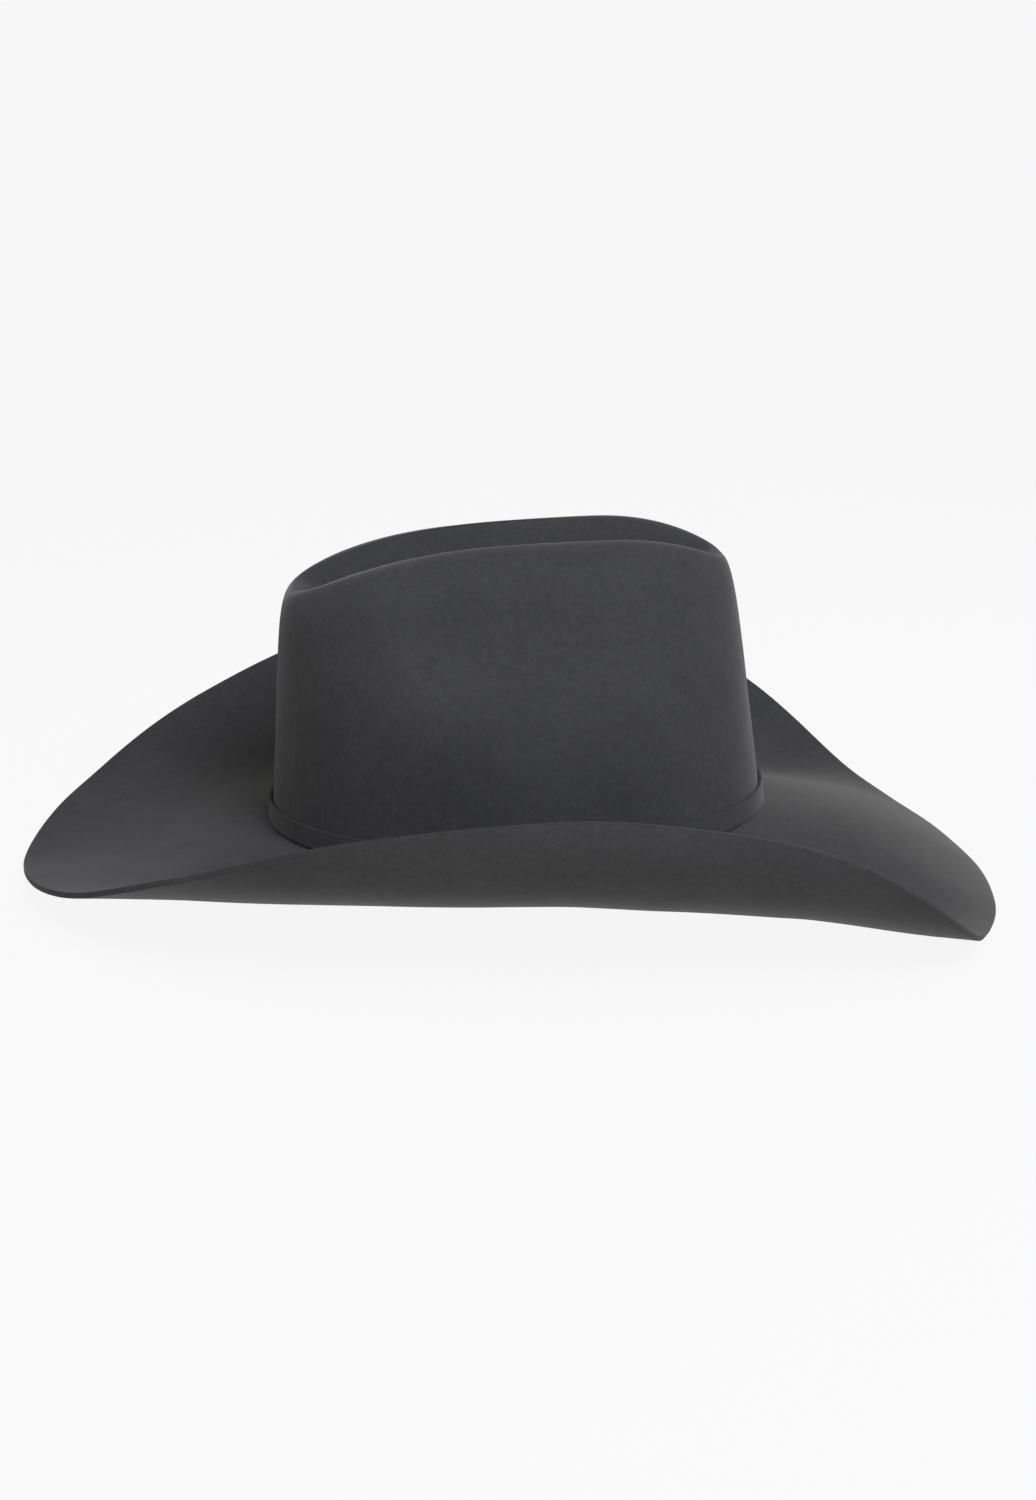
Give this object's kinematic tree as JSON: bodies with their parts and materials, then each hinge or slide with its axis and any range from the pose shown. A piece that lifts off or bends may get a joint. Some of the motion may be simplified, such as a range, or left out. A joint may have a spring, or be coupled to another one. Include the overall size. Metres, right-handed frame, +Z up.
{
  "type": "cowboy hat",
  "caption": "Charcoal felt cowboy hat with a cattleman crease, upturned sides, dipped front, self-felt band with a small buckle, leather sweatband and satin lining.",
  "frame": {"origin": "middle of the bounding box at its base, on the surface that the hat stands on, brim down", "axes": "+X towards the front of the hat, +Y towards the wearer's left, +Z up"},
  "size_m": [0.4178, 0.3494, 0.15],
  "materials": {
    "felt": "matte fine fur felt with a short brushed nap",
    "strap_felt": "matte self-felt strap with crisp cut edges",
    "nickel": "satin-polished nickel",
    "leather": "smooth semi-gloss sweatband leather",
    "tape": "matte woven cotton tape",
    "reed_plastic": "satin plastic reed",
    "ribbon": "fine ribbed ribbon",
    "satin": "glossy satin lining",
    "paper": "plain uncoated paper, blank"
  },
  "bodies": {
    "hat": {"felt_body": "felt", "hatband_strap": "strap_felt", "buckle_frame": "nickel", "buckle_keeper": "nickel", "strap_tip": "nickel", "sweatband": "leather", "sweatband_patch": "leather", "sweatband_tape": "tape", "sweatband_reed": "reed_plastic", "bow_loop_left": "ribbon", "bow_loop_right": "ribbon", "bow_knot": "ribbon", "lining_side": "satin", "lining_tip": "satin", "lining_piping": "satin", "size_label": "paper"},
    "prong": {"buckle_prong": "nickel"}
  },
  "joints": [
    {"name": "prong_pivot", "type": "hinge", "parent": "hat", "child": "prong", "pos_m": [-0.0051, 0.09, 0.03254], "axis": [-0.0669, 0, 0.9978], "range_deg": [0, 40]}
  ]
}
